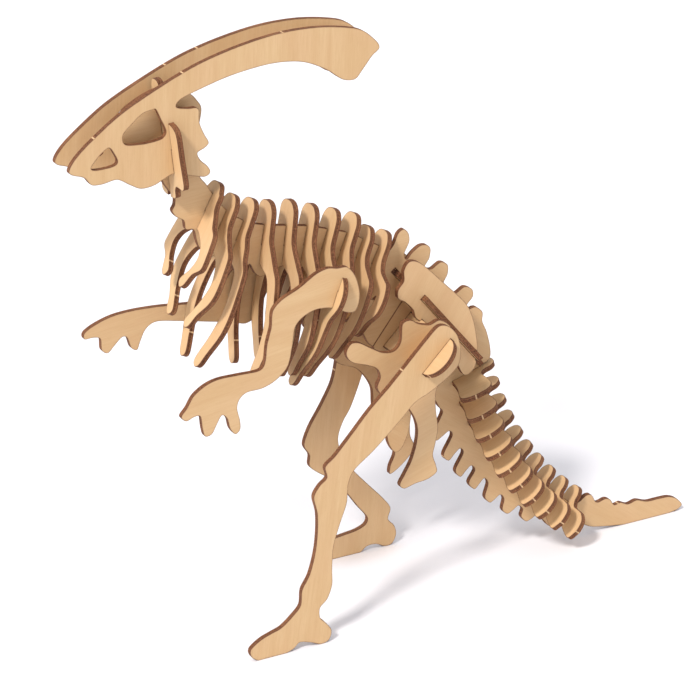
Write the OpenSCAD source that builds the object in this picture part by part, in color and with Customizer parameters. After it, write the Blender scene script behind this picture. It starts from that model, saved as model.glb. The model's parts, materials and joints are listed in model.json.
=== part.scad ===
// Slot-together plywood skeleton of a crested dinosaur.
// Every piece is one flat plate of the same sheet; the plates cross each
// other in half-depth slots.  X runs from the snout to the tail, Y from the
// animal's left side to its right, Z up.  The origin is on the ground, under
// the middle of the length.

/* [Sheet] */
// Thickness of the plywood sheet
ply = 3; // [2.6:0.1:3.2]
// Play left on each side of a plate in its slot
play = 0.1; // [0.05:0.05:0.2]
// Straight steps between two outline points
steps = 4; // [2:1:6]

/* [Spacing] */
// Middle plane to the middle of each skull plate
skull_y = 9; // [8:0.5:9.5]
// Middle plane to the middle of each arm
arm_y = 27.5; // [27.5:0.25:28.5]
// Middle plane to the middle of each hip blade
ilium_y = 12; // [10:0.5:14]
// Middle plane to the middle of each pelvis plate
pelvis_y = 25; // [25:0.5:30]
// Middle plane to the middle of each leg
leg_y = 43; // [38:0.5:46]

/* [Ribs] */
// Width of a rib's leg
rib_leg = 7.8; // [6.5:0.1:8.5]
// Depth of the rib slots in the back
rib_notch = 10; // [7:0.5:12]

/* [Tail] */
// Distance along the tail from one disc to the next
disc_step = 13.3; // [12.6:0.1:13.6]
// Half width of the first, widest disc
disc_half = 25; // [20:0.5:26]
// Depth of the disc slots in the tail
disc_notch = 8; // [6:0.5:10]

/* [Hips] */
// Width of the crossbar that carries the legs
bar_w = 24; // [18:1:24]
// How far the crossbar stands out past each leg
bar_out = 10.5; // [4:0.5:12]

/* [Show] */
// Piece to draw

/* [Hidden] */
gap = ply + 2 * play;          // width of every slot
far = 60;                      // longer than any slot has to be cut
past = 14;                     // how far a slot runs out past the top edge
disc_count = 10;

// --- where the crossing plates stand: [x, z, lean from upright] -------------
cheek_at  = [-139.5, 300, -6];   // top of the cheeks
sacrum_at = [24, 158, -40];      // middle of the long plate over the hips
bar_at    = [-1, 155.8, 45];     // middle of the leg crossbar
sacrum_len = 84;
sacrum_notch = 9;                // its slot in the tail plate, below its middle
sacrum_out = 5;                  // how far it stands out past the hip blades
sacrum_end = [9, 3];             // width of its narrow ends, room left past them
skull_notch = 14;                // slots for the skull plates, in the cheeks
neck_notch = 18;                 // slot for the cheeks, in the neck
joint_at = [-18, 149];           // lower end of the line between back and tail
joint_lean = 38;                 // lean of that line
sacrum_wide = [-26.5, 29.5];     // its wide stretch: above, below the middle
rib_at = [[-111, 254.5, 29], [-103.5, 243.5, 28], [-94, 235.5, 24.5],
          [-81.5, 231.5, 10], [-68.5, 228.5, 8.5], [-56, 226.5, 12.5],
          [-44, 222, 19.5], [-32, 218.5, 23.5], [-22.5, 212.5, 24],
          [-12.5, 207, 25.5]];

// Rib shape: [knob height, half width, depth of the widest place,
//             length below the back, half width at the tip]
rib_size = [[6.5, 22.3, 33, 51, 13], [9.5, 24.9, 37, 64, 13.5],
            [13.5, 22.5, 44, 80, 11.5], [14, 24.6, 48, 82, 15.5],
            [15, 25.3, 45, 80, 16], [12.5, 25.5, 47, 80, 15.5],
            [12.5, 27.6, 48, 85, 14.5], [11.5, 25.5, 46, 80, 14],
            [8.5, 25, 30, 65, 15.5], [9.5, 24.6, 24, 49, 14.5]];
shoulder_rib = 6;                // index of the rib that carries the arms
shoulder_notch = 25;             // depth of its arm slots below the back

// The tail bends from steep to shallow in equal turns, one per disc
tail_root = [49.5, 121.5];
tail_slope = [74, 38];
function disc_lean(i) = tail_slope[0]
    + (tail_slope[1] - tail_slope[0]) * i / (disc_count - 1);
function tail_point(i) = i == 0 ? tail_root
    : let (a = disc_lean(i - 0.5))
      tail_point(i - 1) + disc_step * [cos(a), -sin(a)];
function disc_at(i) = let (p = tail_point(i)) [p[0], p[1], disc_lean(i)];

// --- outlines ---------------------------------------------------------------
// Point on the curve through b and c at fraction t, led in by a and out by d
function bend(a, b, c, d, t) =
    let (m = 0.46 * (c - a), n = 0.46 * (d - b))
    (2*t*t*t - 3*t*t + 1) * b + (t*t*t - 2*t*t + t) * m
    + (3*t*t - 2*t*t*t) * c + (t*t*t - t*t) * n;

// Closed smooth outline through a list of points
function smooth(p) = let (n = len(p))
    [for (i = [0:n - 1]) for (k = [0:steps - 1])
        bend(p[(i + n - 1) % n], p[i], p[(i + 1) % n], p[(i + 2) % n], k / steps)];

// Both halves of an outline whose first and last points lie on the centre line
function mirrored(h) = concat(h,
    [for (i = [len(h) - 2:-1:1]) [-h[i][0], h[i][1]]]);

skull = [[-196, 284], [-192.5, 289.5], [-184, 297], [-167, 309], [-145, 320],
    [-123, 329], [-100, 335], [-77, 338.5], [-54, 338.5], [-32, 334.5],
    [-22, 327.5], [-19, 322.5], [-23.5, 318.5], [-29, 312], [-33.5, 307.5],
    [-41, 308.5], [-51, 315.5], [-65, 321.5], [-83, 323], [-106, 320],
    [-128, 314], [-135, 311], [-136, 308], [-130, 306.5], [-124, 305.5],
    [-123.5, 298], [-121, 291.5], [-118.5, 286.5], [-121, 284], [-125, 282],
    [-123.5, 278], [-119.5, 274], [-118, 270.5], [-121, 268.5], [-128, 270],
    [-138, 273], [-144, 271], [-150, 268.5], [-157, 268], [-163, 271],
    [-170, 275], [-178, 274], [-184, 274.5], [-188, 279], [-194.5, 281.5]];
eye = [[-149.5, 308.8], [-147.5, 308.6], [-145, 303], [-142.3, 296.5],
    [-144, 293.2], [-149, 292], [-157, 291.7], [-165, 293], [-166, 298],
    [-161, 303], [-155, 307.5]];
nostril = [[-173, 292], [-169.5, 285], [-172, 282.5], [-181, 282],
    [-184, 283.5], [-180, 288.5], [-175.5, 292]];

neck_and_back = [[-118, 301], [-120.5, 307], [-125, 311.5], [-133, 315],
    [-143, 316], [-153, 312.5], [-161, 307.5], [-166, 301], [-165, 294],
    [-160, 287], [-152, 280], [-144, 273], [-140.5, 265.5], [-138, 261.5],
    [-134.5, 256.5], [-134.5, 252.5], [-136, 249.5], [-134, 246],
    [-129.5, 243], [-128.5, 238], [-124, 237], [-122.5, 231], [-120.5, 226],
    [-114, 221], [-106, 217.5], [-103, 215], [-100.5, 209], [-96, 208],
    [-92, 212], [-89, 206.5], [-85, 203.5], [-78, 206], [-68, 207.5],
    [-58, 205.5], [-49, 201], [-41, 192], [-34, 180], [-27, 166],
    [-18, 150], [-8, 158], [5, 172], [15, 188], [18.5, 199],
    [16.5, 203], [12, 203.5], [7, 200.5], [3.5, 197], [2, 200.5],
    [5, 207], [4.5, 212], [1.5, 215], [-2, 213], [-4.5, 207.5],
    [-7.5, 204.5], [-12.5, 207.5], [-22, 213], [-32, 218.8], [-44, 223],
    [-56, 227], [-68, 229.5], [-81, 232], [-93, 236], [-104, 243.8],
    [-112, 254], [-116, 260.5], [-120, 266], [-123, 275], [-121.5, 286]];

// Knobs on top of the hips, knobs down the tail and the long tip
hip_knobs = [[6, 190], [14, 190.5], [19, 188.5], [25, 191.5], [29.5, 189],
    [29.5, 183.5], [27, 178.5], [29.5, 173], [34.5, 171], [40.5, 174],
    [45.5, 171.5], [46, 167], [42.5, 163], [43, 160], [48, 160.5],
    [52.5, 156.5], [52.5, 151], [55.5, 144], [58, 134], [57.5, 127]];
tail_tip = [[121, 22.5], [126, 25.6], [130, 25.2], [133, 20.2], [135.5, 19.3],
    [140, 20.4], [143.5, 19], [146.5, 14.8], [151, 15.3], [156.5, 13],
    [162.5, 14.2], [170, 11.7], [177, 11.5], [185, 11.2], [190.5, 9.2],
    [194, 6], [195.5, 3.3], [192, 1], [183, -0.3], [170, -0.8],
    [157, -0.3], [144, 1.5], [132, 3.8], [126, 6.5]];
tail_teeth = [[121, 10], [116, 7.5], [111, 9], [108, 12.5], [104, 10.5],
    [100, 12.5], [96.5, 17], [92.5, 21], [89, 19.5], [85, 18.5], [81.5, 22.5],
    [82.5, 27], [79.5, 30], [76, 28], [72, 26.5], [68.5, 30], [69.5, 36.5],
    [67, 40], [63.5, 38], [60, 36.5], [56.5, 41], [58.5, 49], [56, 53],
    [53, 50.5], [49.5, 47.5], [45.5, 52.5], [49.5, 59.5], [47, 63],
    [43.5, 60.5], [40, 57.5], [36.5, 62.5], [41.5, 72], [39.5, 75.5],
    [36, 73], [32, 69.5], [28.5, 74], [34, 84.5], [32, 88], [27.5, 85.5],
    [23.5, 84], [23.5, 92], [27.5, 100.5], [25, 104.5], [20, 113],
    [13, 116], [8, 108], [6, 95], [2, 85], [-3, 82.5], [-7.5, 90],
    [-8.5, 102], [-7, 116], [-9, 130], [-17, 149], [-16, 156]];
hips_and_tail = concat(hip_knobs,
    [for (i = [0:disc_count - 1]) tail_point(i)], tail_tip, tail_teeth);

arm_near = [[-54, 212], [-48, 211.5], [-43.5, 206], [-41, 198], [-41, 191],
    [-43.5, 185.5], [-49, 186], [-57, 190], [-67, 191], [-75, 188],
    [-79.5, 183], [-81, 174], [-84, 162], [-91, 155.5], [-99, 152.5],
    [-108, 152], [-112.5, 149], [-114, 144], [-112.5, 137], [-112.5, 131.5],
    [-115.5, 129.5], [-118.5, 133.5], [-120, 139.5], [-123, 142],
    [-126, 137.5], [-129, 132.5], [-133, 132], [-134.5, 137], [-135.5, 144],
    [-139, 144.5], [-143.5, 143], [-146.5, 146], [-143, 150.5],
    [-139, 156.5], [-132, 161], [-124, 163], [-112, 163], [-101, 163],
    [-97.5, 166.5], [-96, 177], [-93.5, 186], [-92.5, 195], [-87, 200.5],
    [-77, 205], [-67, 211], [-60, 213]];
arm_far = [[-54, 212], [-48, 211.5], [-43.5, 206], [-41, 198], [-41, 191],
    [-43.5, 185.5], [-49, 186], [-57, 190], [-64, 188], [-69, 180],
    [-74, 170], [-81, 166], [-90, 168.5], [-104, 171.5], [-120, 175],
    [-134, 177.5], [-140.5, 174.5], [-144, 168], [-146, 163.5],
    [-149.5, 165.5], [-151.5, 171.5], [-154.5, 172.5], [-159, 168.5],
    [-163, 165], [-166.5, 167.5], [-167, 174], [-171, 175.5],
    [-176, 175.5], [-176, 179], [-170, 182.5], [-160, 185.5], [-148, 186.5],
    [-133, 186], [-118, 184.5], [-107, 184], [-99, 187], [-92, 195],
    [-87, 200.5], [-77, 205], [-67, 211], [-60, 213]];

ilium = [[-2, 200.5], [3, 200], [9, 195.5], [20, 184.5], [34, 170],
    [39, 160], [41.5, 149], [42.5, 139], [41, 130.5], [37, 126.5],
    [33, 127.5], [28, 137], [20, 149], [11, 160.5], [3, 166.5],
    [1, 172], [-4, 177.5], [-8.5, 180.5], [-8.5, 185.5], [-5, 190],
    [-5, 196]];

// Top of a pelvis plate, its bar to the front, and the arm that points down
pelvis_top = [[-13, 171], [-8, 172.5], [-3, 169.5], [4, 167.5], [10, 169],
    [16, 165], [20, 156]];
pelvis_bar = [[-25, 131.5], [-28.5, 137], [-26.5, 143], [-29, 148.5],
    [-36, 152], [-42, 154], [-46, 157], [-47.5, 161.5], [-44.5, 166],
    [-39.5, 165.5], [-33, 161.5], [-25, 157], [-18, 156.5],
    [-14, 161]];
arm_down_near = [[19, 145], [13, 136], [8.5, 127], [8.5, 116], [10, 105],
    [8.5, 96], [7, 89], [9, 82.5], [9.5, 78], [4, 75], [-4, 74], [-11, 72.5],
    [-14, 75.5], [-11, 81], [-7, 88], [-4, 97], [-3, 106], [-5, 114],
    [-10, 122], [-17, 128]];
arm_down_far = [[21, 145], [20, 132], [20, 118], [21, 105], [21, 92],
    [21, 78], [24, 70], [20, 64], [14, 59], [8, 56], [8, 61], [11, 69],
    [7, 79], [1, 88], [-3, 100], [-4, 112], [-9, 121], [-15, 127]];

leg_near = [[-1, 174], [5, 173], [10.5, 167], [13, 158], [12, 149.5],
    [5, 143], [-6, 136.5], [-15, 132.5], [-24, 124], [-40, 110], [-52, 101],
    [-56, 93], [-57, 82], [-61, 71], [-65, 58], [-66, 45], [-66, 35],
    [-69, 27], [-73.5, 22.5], [-73.5, 16.5], [-70, 12.5], [-66.5, 7],
    [-68, 1.5], [-73, 0], [-79, 2.5], [-86, 4.5], [-90, 1.5], [-98, -0.8],
    [-109, -0.8], [-115, 2.5], [-116, 7.5], [-110, 12], [-103, 14.5],
    [-97, 16.5], [-90.5, 21.5], [-85.5, 27], [-84.5, 36], [-80, 44],
    [-76.5, 56], [-75, 68], [-75, 80], [-77, 90], [-73.5, 96],
    [-69, 100], [-70, 106.5], [-64, 111.5], [-55, 121], [-43, 134],
    [-31, 145], [-19, 157], [-8, 168]];
leg_far = [[0, 173], [6, 172.5], [11, 167], [13.5, 158], [12, 147],
    [7, 134], [2, 120], [-3, 106], [-8, 94], [-13, 86], [-16, 76],
    [-13, 64], [-6, 54], [4, 42.5], [13, 32.5], [18.5, 24.5], [17, 17.5],
    [21, 12.5], [22.5, 6.5], [20, 1], [15, 0.2], [9, 3], [3, 3], [-2, -0.2],
    [-10, -0.8], [-19, -0.4], [-26, 3.5], [-27.5, 8.5], [-22, 12.5],
    [-12, 14], [-4, 15], [2, 17.5], [3, 22], [-3, 30], [-10, 40],
    [-18, 50], [-28, 57], [-34.5, 63], [-34.5, 70], [-38, 77], [-34.5, 87],
    [-27, 99], [-20, 112], [-17, 125], [-15, 138], [-12, 152], [-6, 167]];

// Half outlines of the pieces that stand across the others: [sideways, up]
cheek_half = [[0, 21.5], [3.2, 20.8], [5, 17], [6.2, 10], [8, 3],
    [10.5, 0.5], [14.5, -0.3], [18, -2.5], [19.2, -7], [19.4, -16],
    [20, -24], [20.3, -31], [18, -34.3], [11, -34.3], [8.5, -37],
    [8, -41], [5, -42.5], [0, -42.5]];

function rib_half(i) = let (r = rib_size[i],
        knob = r[0], w = r[1], wide = r[2], l = r[3], tip = r[4],
        flare = wide - 11)
    concat([[0, knob], [4.4, knob - 1], [7.4, knob - 5], [8.3, 1],
        [9.2, -6], [12.4, -11]],
        i == shoulder_rib
        ? [[17, -15], [22, -17.5], [27, -16.5], [31.5, -19], [34.6, -25],
           [34, -33], [29, -41.5], [w, -wide]]
        : [[w - 7, -11 - 0.2 * flare], [w - 2.4, -11 - 0.4 * flare],
           [w, -wide]],
        [[(w + tip) / 2 + 4, (9 - l - wide) / 2], [tip + 3.2, 9 - l],
        [tip, 2 - l], [tip - 3.5, -l], [tip - 6, 4 - l],
        [(w + tip - rib_leg) / 2 - 1.5, (4 - l - wide) / 2],
        [w - rib_leg, -wide], [min(w - rib_leg - 2.5, 13), -27],
        [5.5, -22], [0, -20.5]]);

function disc_half_outline(i) = let (w = disc_half - 0.4 * i, h = 22.5 - 0.5 * i,
        k = 11.8 - 0.15 * i)
    [[0, k], [3.2, k - 1], [5.3, k - 4.5], [5.7, 2.5], [8, -0.6], [14, -1],
     [w - 4.5, -1.8], [w - 1, -5], [w, -10], [w - 0.6, 5 - h], [w - 3, 0.5 - h],
     [w - 7, 0.8 - h], [w - 14, 3.8 - h], [0, 6 - h]];

// --- building blocks --------------------------------------------------------
// Plate lying in the XZ plane, y to the side
module flat(y = 0)
    translate([0, y, 0]) rotate([90, 0, 0])
        linear_extrude(ply, center = true) children();

// Plate standing across, drawn as [sideways, up] and set at [x, z, lean]
module across(at)
    translate([at[0], 0, at[1]]) rotate([0, at[2], 0]) rotate([90, 0, 90])
        linear_extrude(ply, center = true) children();

// Slot for an across plate, cut in a flat plate from height a to height b
module cross_slot(at, a, b)
    translate([at[0], at[1]]) rotate(-at[2])
        translate([-gap / 2, a]) square([gap, b - a]);

// Slot for a flat plate, cut in an across plate from height a to height b
module side_slot(y, a, b)
    translate([y - gap / 2, a]) square([gap, b - a]);

// What is cut away below the ground, so that the feet and the tail stand flat
module under_ground()
    translate([-300, -far]) square([600, far]);

// --- pieces -----------------------------------------------------------------
module back_plate() color("BurlyWood") flat() difference() {
    polygon(smooth(neck_and_back));
    hip_joint(1);
    cross_slot(cheek_at, -neck_notch - play, far);
    for (at = rib_at) cross_slot(at, -rib_notch - play, past);
    cross_slot(sacrum_at, 0, sacrum_len / 2 + sacrum_end[1]);
}

module tail_plate() color("BurlyWood") flat() difference() {
    polygon(smooth(hips_and_tail));
    under_ground();
    hip_joint(-1);
    for (i = [0:disc_count - 1]) cross_slot(disc_at(i), -disc_notch - play, past);
    cross_slot(sacrum_at, -sacrum_notch - play, sacrum_len);
    cross_slot(bar_at, -bar_w / 2 - play, bar_w / 2 + play);
}

// Everything on one side of the line where the back and the tail plate meet
module hip_joint(side)
    translate(joint_at) rotate(-joint_lean)
        translate([side > 0 ? -play / 2 : play / 2 - far, -far])
            square([far, 3 * far]);

module skull_plate(y) color("Wheat") flat(y) difference() {
    polygon(smooth(skull));
    polygon(smooth(eye));
    polygon(smooth(nostril));
    cross_slot(cheek_at, -far, -skull_notch + play);
}
module skull_left() skull_plate(-skull_y);
module skull_right() skull_plate(skull_y);

module cheek_piece() color("Tan") across(cheek_at) difference() {
    polygon(smooth(mirrored(cheek_half)));
    for (s = [-1, 1]) side_slot(s * skull_y, -skull_notch, far);
    side_slot(0, -far, -neck_notch);
}

module rib(i) color("Wheat") across(rib_at[i]) difference() {
    polygon(smooth(mirrored(rib_half(i))));
    side_slot(0, -far, -rib_notch);
    if (i == shoulder_rib)
        for (s = [-1, 1]) side_slot(s * arm_y, -shoulder_notch, 0);
}

module arm(points, y) color("Wheat") flat(y) difference() {
    polygon(smooth(points));
    cross_slot(rib_at[shoulder_rib], -far, -shoulder_notch + play);
}
module arm_left() arm(arm_near, -arm_y);
module arm_right() arm(arm_far, arm_y);

module ilium_plate(y) color("Tan") flat(y) difference() {
    polygon(smooth(ilium));
    cross_slot(sacrum_at, -sacrum_wide[1] - play, -sacrum_wide[0] + play);
    cross_slot(bar_at, -bar_w / 2 - play, bar_w / 2 + play);
}
module ilium_left() ilium_plate(-ilium_y);
module ilium_right() ilium_plate(ilium_y);

module pelvis_plate(arm_down, y) color("Tan") flat(y) difference() {
    polygon(smooth(concat(pelvis_top, arm_down, pelvis_bar)));
    cross_slot(bar_at, -bar_w / 2 - play, bar_w / 2 + play);
}
module pelvis_left() pelvis_plate(arm_down_near, -pelvis_y);
module pelvis_right() pelvis_plate(arm_down_far, pelvis_y);

// Long plate over the hips: narrow ends, wide middle through both hip blades
module sacrum_piece() color("Tan") across(sacrum_at) difference() {
    union() {
        translate([-sacrum_end[0] / 2, -sacrum_len / 2])
            square([sacrum_end[0], sacrum_len]);
        translate([-ilium_y - sacrum_out, -sacrum_wide[1]])
            square([2 * (ilium_y + sacrum_out), sacrum_wide[1] - sacrum_wide[0]]);
    }
    side_slot(0, -sacrum_len, -sacrum_notch);
}

// Crossbar of the hips: straight between the legs, round past them
module hip_bar() color("Wheat") across(bar_at)
    polygon(concat(bar_end(1), bar_end(-1)));
function bar_end(s) = [for (a = [-90:15:90])
    s * [leg_y + ply / 2 + bar_out * cos(a), bar_w / 2 * sin(a)]];

module leg(points, y) color("Wheat") flat(y) difference() {
    polygon(smooth(points));
    under_ground();
    cross_slot(bar_at, -bar_w / 2 - play, bar_w / 2 + play);
}
module leg_left() leg(leg_near, -leg_y);
module leg_right() leg(leg_far, leg_y);

module tail_disc(i) color("Wheat") across(disc_at(i)) difference() {
    polygon(smooth(mirrored(disc_half_outline(i))));
    side_slot(0, -far, -disc_notch);
}

back_plate();
tail_plate();
skull_left();
skull_right();
cheek_piece();
rib(0);  // rib_1
rib(1);  // rib_2
rib(2);  // rib_3
rib(3);  // rib_4
rib(4);  // rib_5
rib(5);  // rib_6
rib(6);  // rib_7
rib(7);  // rib_8
rib(8);  // rib_9
rib(9);  // rib_10
arm_left();
arm_right();
ilium_left();
ilium_right();
pelvis_left();
pelvis_right();
sacrum_piece();
hip_bar();
leg_left();
leg_right();
tail_disc(0);  // tail_disc_1
tail_disc(1);  // tail_disc_2
tail_disc(2);  // tail_disc_3
tail_disc(3);  // tail_disc_4
tail_disc(4);  // tail_disc_5
tail_disc(5);  // tail_disc_6
tail_disc(6);  // tail_disc_7
tail_disc(7);  // tail_disc_8
tail_disc(8);  // tail_disc_9
tail_disc(9);  // tail_disc_10
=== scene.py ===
"""Looks of the slot-together plywood skeleton: every plate is rebuilt from its
packed outline as laser-cut three-layer plywood, on a pale floor in soft studio
light."""

import json
import math
import random

import bpy
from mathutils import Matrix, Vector
from mathutils.geometry import tessellate_polygon


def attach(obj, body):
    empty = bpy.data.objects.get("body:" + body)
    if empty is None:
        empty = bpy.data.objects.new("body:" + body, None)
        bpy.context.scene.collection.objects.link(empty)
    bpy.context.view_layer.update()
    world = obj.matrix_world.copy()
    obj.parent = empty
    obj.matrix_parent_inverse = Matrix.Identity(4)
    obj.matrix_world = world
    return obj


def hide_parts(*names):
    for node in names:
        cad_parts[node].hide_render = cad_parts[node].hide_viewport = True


MM = 0.001
CORNER = math.radians(32)     # sharper turns than this stay corners
SPACING = 1.3                 # longest step along an outline, in mm
FACE = 1.5                    # height of a plate's faces over its middle layer
NIB_WIDTH = 0.8               # unburnt tab where the sheet held the piece
NIB_GROOVE = 0.22             # depth of the small step at each side of a tab
TAB_EVERY = 130               # run of outline per tab on the big plates, in mm

# Section of a plate's rim, front to back: [how far in from the outline,
# height above the middle layer, how scorched], all in mm but the last.
RIM = [
    (0.70, 1.500, 0.0), (0.32, 1.500, 0.35), (0.12, 1.500, 1.0), (0.03, 1.450, 1.0),
    (0.00, 1.340, 1.0), (0.00, 0.560, 1.0), (0.06, 0.500, 1.0), (0.06, -0.500, 1.0),
    (0.00, -0.560, 1.0), (0.00, -1.340, 1.0), (0.03, -1.450, 1.0), (0.12, -1.500, 1.0),
    (0.32, -1.500, 0.35), (0.70, -1.500, 0.0),
]
FACE_RINGS = 2                # rings at each end of RIM that lie on the face

# Direction of the veneer's grain in each kind of plate, in degrees from the
# plate's own sideways direction
GRAIN = {"skull": 88, "arm": 8, "leg": 84, "back": 4, "tail_plate": -38, "rib": 90,
         "tail_disc": 90, "hip": 0, "sacrum": 90, "ilium": 60, "pelvis": 20,
         "cheek": 90}


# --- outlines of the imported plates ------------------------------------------
def plate_frame(mesh):
    """Sideways, upward and outward directions of a flat plate."""
    area = {}
    for tri in mesh.loop_triangles:
        n = tuple(round(c, 2) for c in tri.normal)
        key = max(n, tuple(-c for c in n))
        total, best = area.get(key, (0, tri.normal))
        area[key] = (total + tri.area, best)
    normal = max(area.values(), key=lambda a: a[0])[1].normalized()
    if abs(normal.y) > 0.9:
        side, up = Vector((1, 0, 0)), Vector((0, 0, 1))
    else:
        side = Vector((0, 1, 0))
        up = normal.cross(side).normalized()
        if up.z < 0:
            up = -up
    return side, up, side.cross(up)


def outlines(mesh, side, up, out):
    """The plate's closed outlines in mm, wood on their left, and the height
    of its middle layer."""
    heights = [v.co.dot(out) for v in mesh.vertices]
    top, low = max(heights), min(heights)
    spots, index = [], {}

    def spot(v):
        key = (round(v.dot(side) / MM, 3), round(v.dot(up) / MM, 3))
        if key not in index:
            index[key] = len(spots)
            spots.append(Vector(key))
        return index[key]

    edges = set()
    for tri in mesh.loop_triangles:
        flat = all(abs(heights[v] - top) < 0.02 * MM for v in tri.vertices)
        if not flat or tri.normal.dot(out) < 0.9:
            continue
        ring = [spot(mesh.vertices[v].co) for v in tri.vertices]
        edges.update((ring[k], ring[(k + 1) % 3]) for k in range(3))
    after = {a: b for a, b in edges if (b, a) not in edges}
    loops = []
    while after:
        start, here = next(iter(sorted(after.items())))
        loop = [start]
        del after[start]
        while here != start:
            loop.append(here)
            here = after.pop(here)
        loops.append([spots[k] for k in loop])
    return loops, (top + low) / 2


def turn(a, b, c):
    """Angle by which the outline turns at b."""
    return abs((b - a).angle_signed(c - b, 0))


def fine_outline(points, nib_spots, rng):
    """Outline with short even steps, round where the plate is round. Returns
    [place, run along the outline, corner?, nib, groove]."""
    n = len(points)
    corner = [turn(points[k - 1], points[k], points[(k + 1) % n]) > CORNER
              for k in range(n)]
    lengths = [(points[(k + 1) % n] - points[k]).length for k in range(n)]
    starts = [sum(lengths[:k]) for k in range(n)]
    total = sum(lengths)
    box = [(min(c), max(c)) for c in zip(*points)]

    def place(k, t):
        a, b = points[k], points[(k + 1) % n]
        chord = b - a
        m = chord if corner[k] else tangent(k, chord)
        e = chord if corner[(k + 1) % n] else tangent((k + 1) % n, chord)
        p = ((2*t**3 - 3*t**2 + 1) * a + (t**3 - 2*t**2 + t) * m
             + (3*t**2 - 2*t**3) * b + (t**3 - t**2) * e)
        return Vector(min(max(c, low), high) for c, (low, high) in zip(p, box))

    def tangent(k, chord):
        way = (points[(k + 1) % n] - points[k - 1]).normalized()
        return way * chord.length

    def nearest(target):
        k = min(range(n), key=lambda k: (
            (points[k] + points[(k + 1) % n]) / 2 - target).length)
        return starts[k] + lengths[k] / 2

    nibs = [nearest(s) for s in nib_spots]
    if total > TAB_EVERY and not nib_spots:
        nibs = [rng.uniform(0, total) for _ in range(int(total / TAB_EVERY))]
    made = []
    for k in range(n):
        steps = max(1, math.ceil(lengths[k] / SPACING))
        fractions = {s / steps for s in range(steps)}
        for nib in nibs:
            for shift in (-0.62, -0.5, -0.36, 0.36, 0.5, 0.62):
                f = (nib + shift - starts[k]) / max(lengths[k], 1e-6)
                if 0.02 < f < 0.98:
                    fractions.add(f)
        for f in sorted(fractions):
            run = starts[k] + f * lengths[k]
            off = min([abs(run - nib) for nib in nibs], default=9)
            made.append((place(k, f), run, corner[k] and f == 0,
                         1.0 if off < NIB_WIDTH / 2 else 0.0,
                         1.0 if 0.45 < off < 0.56 else 0.0))
    return made


def inward(fine):
    """How each outline point moves for an inset of one."""
    n, moves = len(fine), []
    for k in range(n):
        a = (fine[k][0] - fine[k - 1][0]).normalized()
        b = (fine[(k + 1) % n][0] - fine[k][0]).normalized()
        left = Vector((-a.y, a.x)) + Vector((-b.y, b.x))
        size = max(left.length_squared / 2, 0.35)
        moves.append(left / size)
    return moves


# --- plates -----------------------------------------------------------------
def nib_places(name, loops):
    """Where the holding tabs of the cut sheet were, on the small plates."""
    xs = [p.x for p in loops[0]]
    ys = [p.y for p in loops[0]]
    if name.startswith("tail_disc"):
        middle = min(ys) + 0.22 * (max(ys) - min(ys))
        return [Vector((x, middle)) for x in (min(xs), max(xs))]
    if name.startswith("rib_"):
        height = min(ys) + 0.17 * (max(ys) - min(ys))
        return [Vector((x, height)) for x in (-9, 9)]
    if name == "hip_bar":
        return [Vector((x, min(ys))) for x in (-48, 48)]
    if name == "sacrum_piece":
        return [Vector((x, 0)) for x in (min(xs), max(xs))]
    return []


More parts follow.
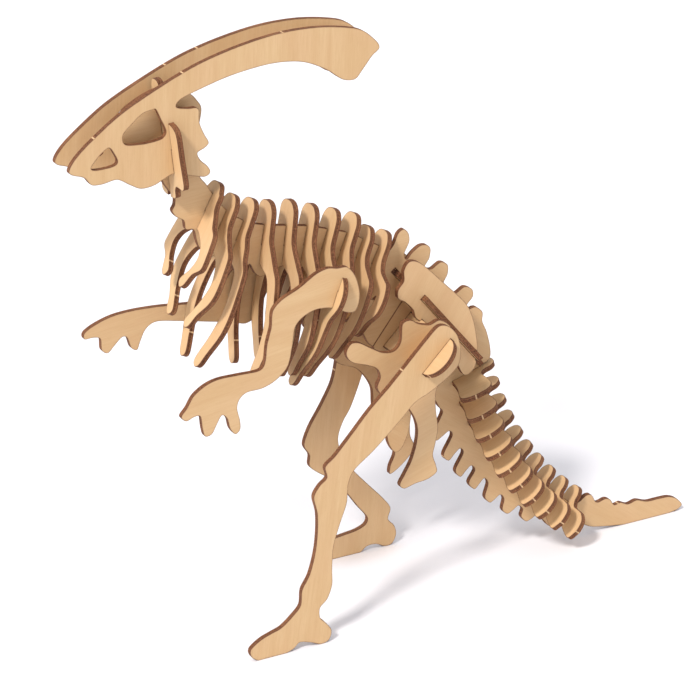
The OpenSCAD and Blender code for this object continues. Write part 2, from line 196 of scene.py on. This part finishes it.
def plywood(name):
    """The laser-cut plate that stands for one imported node."""
    rng = random.Random(name)
    mesh = frame["nodes"][name].data
    mesh.calc_loop_triangles()
    side, up, out = plate_frame(mesh)
    loops, middle = outlines(mesh, side, up, out)
    loops.sort(key=lambda l: -max(p.x for p in l) + min(p.x for p in l))
    kind = next(k for k in GRAIN if name.startswith(k))
    angle = math.radians(GRAIN[kind] + rng.uniform(-3, 3))
    along = Vector((math.cos(angle), math.sin(angle)))
    across = Vector((-along.y, along.x))
    shift = Vector((rng.uniform(0, 900), rng.uniform(0, 900), rng.uniform(0, 90)))
    tone = rng.uniform(-1, 1)

    verts, grain, cut, scorch, layers, nib_at = [], [], [], [], [], []
    faces, face_kind, sharp = [], [], set()
    rings = []                # rings[loop][ring][point] -> vertex
    nib_spots = nib_places(name, loops)
    for number, loop in enumerate(loops):
        fine = fine_outline(loop, nib_spots if number == 0 else [], rng)
        moves = inward(fine)
        grid = []
        for inset, height, burnt in RIM:
            row = []
            on_side = abs(height) < FACE
            for (place, run, is_corner, nib, groove), move in zip(fine, moves):
                depth = inset + (NIB_GROOVE * groove if on_side else 0)
                p = place + move * depth
                row.append(len(verts))
                verts.append((p.x * side + p.y * up + height * out) * MM
                             + middle * out)
                grain.append(Vector((p.dot(along), p.dot(across), height)) + shift)
                cut.append(Vector((run, height, 37.0 * number)) + shift)
                scorch.append(burnt)
                layers.append(height)
                nib_at.append(nib)
            grid.append(row)
        count = len(fine)
        for r in range(len(RIM) - 1):
            on_face = r < FACE_RINGS or r >= len(RIM) - 1 - FACE_RINGS
            for k in range(count):
                m = (k + 1) % count
                faces.append((grid[r][k], grid[r + 1][k],
                              grid[r + 1][m], grid[r][m]))
                face_kind.append(0 if on_face else 1)
                if fine[k][2]:
                    sharp.add((grid[r][k], grid[r + 1][k]))
        rings.append(grid)
    for ring, flip in ((0, False), (-1, True)):
        flat = [[verts[v] for v in grid[ring]] for grid in rings]
        which = [v for grid in rings for v in grid[ring]]
        for tri in tessellate_polygon(flat):
            a, b, c = (verts[which[k]] for k in tri)
            facing = (b - a).cross(c - a).dot(out) > 0
            order = tri if facing != flip else tri[::-1]
            faces.append(tuple(which[k] for k in order))
            face_kind.append(0)

    made = bpy.data.meshes.new(name + "_ply")
    made.from_pydata(verts, [], faces)
    made.materials.append(veneer)
    made.materials.append(burnt_edge)
    made.polygons.foreach_set("material_index", face_kind)
    made.polygons.foreach_set("use_smooth", [True] * len(faces))
    for label, values in (("grain", grain), ("cut", cut)):
        layer = made.attributes.new(label, "FLOAT_VECTOR", "POINT")
        layer.data.foreach_set("vector", [c for v in values for c in v])
    for label, values in (("scorch", scorch), ("layer", layers), ("nib", nib_at),
                          ("tone", [tone] * len(verts))):
        layer = made.attributes.new(label, "FLOAT", "POINT")
        layer.data.foreach_set("value", values)
    hard = made.attributes.new("sharp_edge", "BOOLEAN", "EDGE")
    hard.data.foreach_set("value", [
        (e.vertices[0], e.vertices[1]) in sharp
        or (e.vertices[1], e.vertices[0]) in sharp for e in made.edges])
    made.update()
    piece = bpy.data.objects.new(name + "_ply", made)
    bpy.context.scene.collection.objects.link(piece)
    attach(piece, body_of[name])
    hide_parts(name)
    return piece


# --- materials --------------------------------------------------------------
class Tree:
    """Short names for building a material's nodes."""

    def __init__(self, name):
        self.material = bpy.data.materials.new(name)
        self.material.use_nodes = True
        self.nodes = self.material.node_tree.nodes
        self.links = self.material.node_tree.links
        self.shader = self.nodes["Principled BSDF"]

    def put(self, value, socket):
        if isinstance(value, bpy.types.NodeSocket):
            self.links.new(value, socket)
        else:
            socket.default_value = value

    def attribute(self, name, vector=False):
        node = self.nodes.new("ShaderNodeAttribute")
        node.attribute_name = name
        return node.outputs["Vector" if vector else "Fac"]

    def noise(self, vector, scale, detail=3.0, rough=0.55, distort=0.0):
        """Noise stretched by scale = (x, y, z) per millimetre, 0 to 1."""
        stretch = self.nodes.new("ShaderNodeVectorMath")
        stretch.operation = "MULTIPLY"
        self.put(vector, stretch.inputs[0])
        stretch.inputs[1].default_value = scale
        node = self.nodes.new("ShaderNodeTexNoise")
        self.put(stretch.outputs[0], node.inputs["Vector"])
        node.inputs["Scale"].default_value = 1.0
        node.inputs["Detail"].default_value = detail
        node.inputs["Roughness"].default_value = rough
        node.inputs["Distortion"].default_value = distort
        return node.outputs["Fac"]

    def ramp(self, value, low, high, to_low=0.0, to_high=1.0):
        node = self.nodes.new("ShaderNodeMapRange")
        node.interpolation_type = "SMOOTHSTEP"
        self.put(value, node.inputs["Value"])
        node.inputs["From Min"].default_value = low
        node.inputs["From Max"].default_value = high
        node.inputs["To Min"].default_value = to_low
        node.inputs["To Max"].default_value = to_high
        return node.outputs["Result"]

    def math(self, operation, a, b=0.0):
        node = self.nodes.new("ShaderNodeMath")
        node.operation = operation
        self.put(a, node.inputs[0])
        self.put(b, node.inputs[1])
        return node.outputs[0]

    def mix(self, factor, a, b, blend="MIX"):
        node = self.nodes.new("ShaderNodeMix")
        node.data_type = "RGBA"
        node.blend_type = blend
        self.put(factor, node.inputs["Factor"])
        self.put(a, node.inputs[6])
        self.put(b, node.inputs[7])
        return node.outputs[2]

    def bump(self, height, strength, distance):
        node = self.nodes.new("ShaderNodeBump")
        node.inputs["Strength"].default_value = strength
        node.inputs["Distance"].default_value = distance
        self.put(height, node.inputs["Height"])
        self.put(node.outputs["Normal"], self.shader.inputs["Normal"])


def rgb(r, g, b):
    return (r, g, b, 1.0)


def make_veneer():
    """Pale bare basswood with fine fibres, short pores and a scorched rim."""
    t = Tree("basswood_veneer")
    grain = t.attribute("grain", vector=True)
    figure = t.noise(grain, (0.012, 0.11, 1.0), 3.0, 0.5, 0.6)
    fibres = t.noise(grain, (0.09, 2.6, 1.0), 4.0, 0.62)
    streaks = t.noise(grain, (0.035, 0.8, 1.0), 3.0, 0.6)
    pores = t.ramp(t.noise(grain, (0.5, 5.5, 1.0), 1.0, 0.5), 0.66, 0.76)
    cloud = t.noise(grain, (0.05, 0.07, 1.0), 2.0)
    wood = t.mix(t.ramp(figure, 0.3, 0.72), rgb(0.592, 0.407, 0.219),
                 rgb(0.546, 0.358, 0.181))
    wood = t.mix(t.ramp(streaks, 0.35, 0.75, 0.0, 0.40), wood,
                 rgb(0.510, 0.317, 0.154))
    wood = t.mix(t.ramp(cloud, 0.35, 0.75, 0.0, 0.35), wood,
                 rgb(0.573, 0.367, 0.203))
    wood = t.mix(t.ramp(fibres, 0.42, 0.72, 0.0, 0.30), wood,
                 rgb(0.455, 0.271, 0.123))
    wood = t.mix(t.math("MULTIPLY", pores, 0.22), wood, rgb(0.309, 0.172, 0.070))
    warm = t.ramp(t.attribute("tone"), -1.0, 1.0, 0.0, 0.30)
    wood = t.mix(warm, wood, rgb(0.564, 0.349, 0.188))
    burn = t.math("MULTIPLY", t.attribute("scorch"),
                  t.ramp(t.noise(grain, (0.35, 0.35, 0.2), 3.0), 0.3, 0.7, 0.55, 1.0))
    wood = t.mix(burn, wood, rgb(0.17, 0.065, 0.028))
    t.put(wood, t.shader.inputs["Base Color"])
    t.put(t.ramp(fibres, 0.3, 0.8, 0.56, 0.74), t.shader.inputs["Roughness"])
    t.shader.inputs["Specular IOR Level"].default_value = 0.35
    t.bump(t.math("SUBTRACT", fibres, t.math("MULTIPLY", pores, 0.8)), 0.22, 0.00006)
    return t.material


def make_burnt_edge():
    """Cut edge: scorched veneers, a darker cross-grain core, unburnt tabs."""
    t = Tree("burnt_edge")
    cut = t.attribute("cut", vector=True)
    level = t.math("ABSOLUTE", t.attribute("layer"))
    ridges = t.noise(cut, (2.0, 0.25, 1.0), 2.0, 0.6)
    specks = t.noise(cut, (1.5, 2.4, 1.0), 2.0, 0.6)
    patches = t.noise(cut, (0.05, 0.1, 1.0), 2.0)
    skin = t.mix(t.ramp(ridges, 0.35, 0.7), rgb(0.113, 0.040, 0.017),
                 rgb(0.216, 0.084, 0.037))
    core = t.mix(t.ramp(specks, 0.42, 0.62), rgb(0.063, 0.022, 0.009),
                 rgb(0.232, 0.096, 0.041))
    wood = t.mix(t.ramp(level, 0.48, 0.58), core, skin)
    wood = t.mix(t.ramp(patches, 0.45, 0.75, 0.0, 0.45), wood, rgb(0.299, 0.136, 0.060))
    wood = t.mix(t.ramp(level, 1.12, 1.45, 0.0, 0.8), wood, rgb(0.045, 0.015, 0.008))
    wood = t.mix(t.attribute("nib"), wood, rgb(0.55, 0.36, 0.20))
    t.put(wood, t.shader.inputs["Base Color"])
    t.shader.inputs["Roughness"].default_value = 0.78
    t.shader.inputs["Specular IOR Level"].default_value = 0.25
    t.bump(t.math("ADD", ridges, specks), 0.35, 0.00009)
    return t.material


def make_floor():
    """Pale board with a barely uneven tone."""
    t = Tree("pale_floor")
    place = t.nodes.new("ShaderNodeTexCoord").outputs["Object"]
    cloud = t.noise(place, (1.5, 1.5, 1.5), 2.0)
    t.put(t.mix(t.ramp(cloud, 0.3, 0.7), rgb(0.76, 0.75, 0.78), rgb(0.78, 0.77, 0.80)),
          t.shader.inputs["Base Color"])
    t.shader.inputs["Roughness"].default_value = 0.7
    t.shader.inputs["Specular IOR Level"].default_value = 0.1
    return t.material


# --- light, floor and camera ------------------------------------------------
def lamp(name, toward, strength, angle, colour):
    """Far soft light that shines along the given direction."""
    data = bpy.data.lights.new(name, "SUN")
    data.energy, data.angle, data.color = strength, math.radians(angle), colour
    lamp_object = bpy.data.objects.new(name, data)
    lamp_object.rotation_mode = "QUATERNION"
    lamp_object.rotation_quaternion = Vector(toward).to_track_quat("-Z", "Y")
    bpy.context.scene.collection.objects.link(lamp_object)


def stage_and_light():
    size = 6.0
    mesh = bpy.data.meshes.new("floor")
    corners = [(-size, -size), (size, -size), (size, size), (-size, size)]
    mesh.from_pydata([(x, y, -0.00005) for x, y in corners], [], [(0, 1, 2, 3)])
    mesh.materials.append(make_floor())
    floor = bpy.data.objects.new("floor", mesh)
    bpy.context.scene.collection.objects.link(floor)
    world = bpy.data.worlds.new("studio")
    world.use_nodes = True
    sky = world.node_tree.nodes["Background"]
    sky.inputs["Color"].default_value = rgb(0.97, 0.975, 1.0)
    sky.inputs["Strength"].default_value = 0.92
    bpy.context.scene.world = world
    lamp("key", (0.61, 0.36, -0.71), 3.0, 9, (1.0, 0.965, 0.92))
    lamp("side_fill", (0.93, 0.10, -0.20), 0.5, 40, (1.0, 0.97, 0.94))
    scene = bpy.context.scene
    scene.view_settings.view_transform = "Standard"
    scene.view_settings.look = "None"


def camera():
    data = bpy.data.cameras.new("camera")
    data.sensor_width, data.lens = 36.0, 144.0
    data.clip_start, data.clip_end = 0.05, 50
    eye = bpy.data.objects.new("camera", data)
    azimuth, height = math.radians(-28.5), math.radians(23)
    back = Vector((math.sin(azimuth) * math.cos(height),
                   -math.cos(azimuth) * math.cos(height), math.sin(height)))
    eye.location = (-0.7026, -1.2372, 0.7474)
    eye.rotation_mode = "QUATERNION"
    eye.rotation_quaternion = (-back).to_track_quat("-Z", "Y")
    bpy.context.scene.collection.objects.link(eye)
    bpy.context.scene.camera = eye


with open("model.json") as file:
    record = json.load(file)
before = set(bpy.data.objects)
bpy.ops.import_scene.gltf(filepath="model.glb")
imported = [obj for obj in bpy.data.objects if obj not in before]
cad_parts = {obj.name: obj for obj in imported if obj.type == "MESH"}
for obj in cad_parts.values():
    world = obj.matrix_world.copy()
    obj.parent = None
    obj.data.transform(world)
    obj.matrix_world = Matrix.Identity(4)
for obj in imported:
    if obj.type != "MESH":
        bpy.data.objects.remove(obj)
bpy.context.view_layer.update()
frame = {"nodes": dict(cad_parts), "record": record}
body_of = {node: body
           for body, nodes in frame["record"]["behaviour"]["bodies"].items()
           for node in nodes}
veneer, burnt_edge = make_veneer(), make_burnt_edge()
for node_name in sorted(frame["nodes"]):
    plywood(node_name)
stage_and_light()
camera()
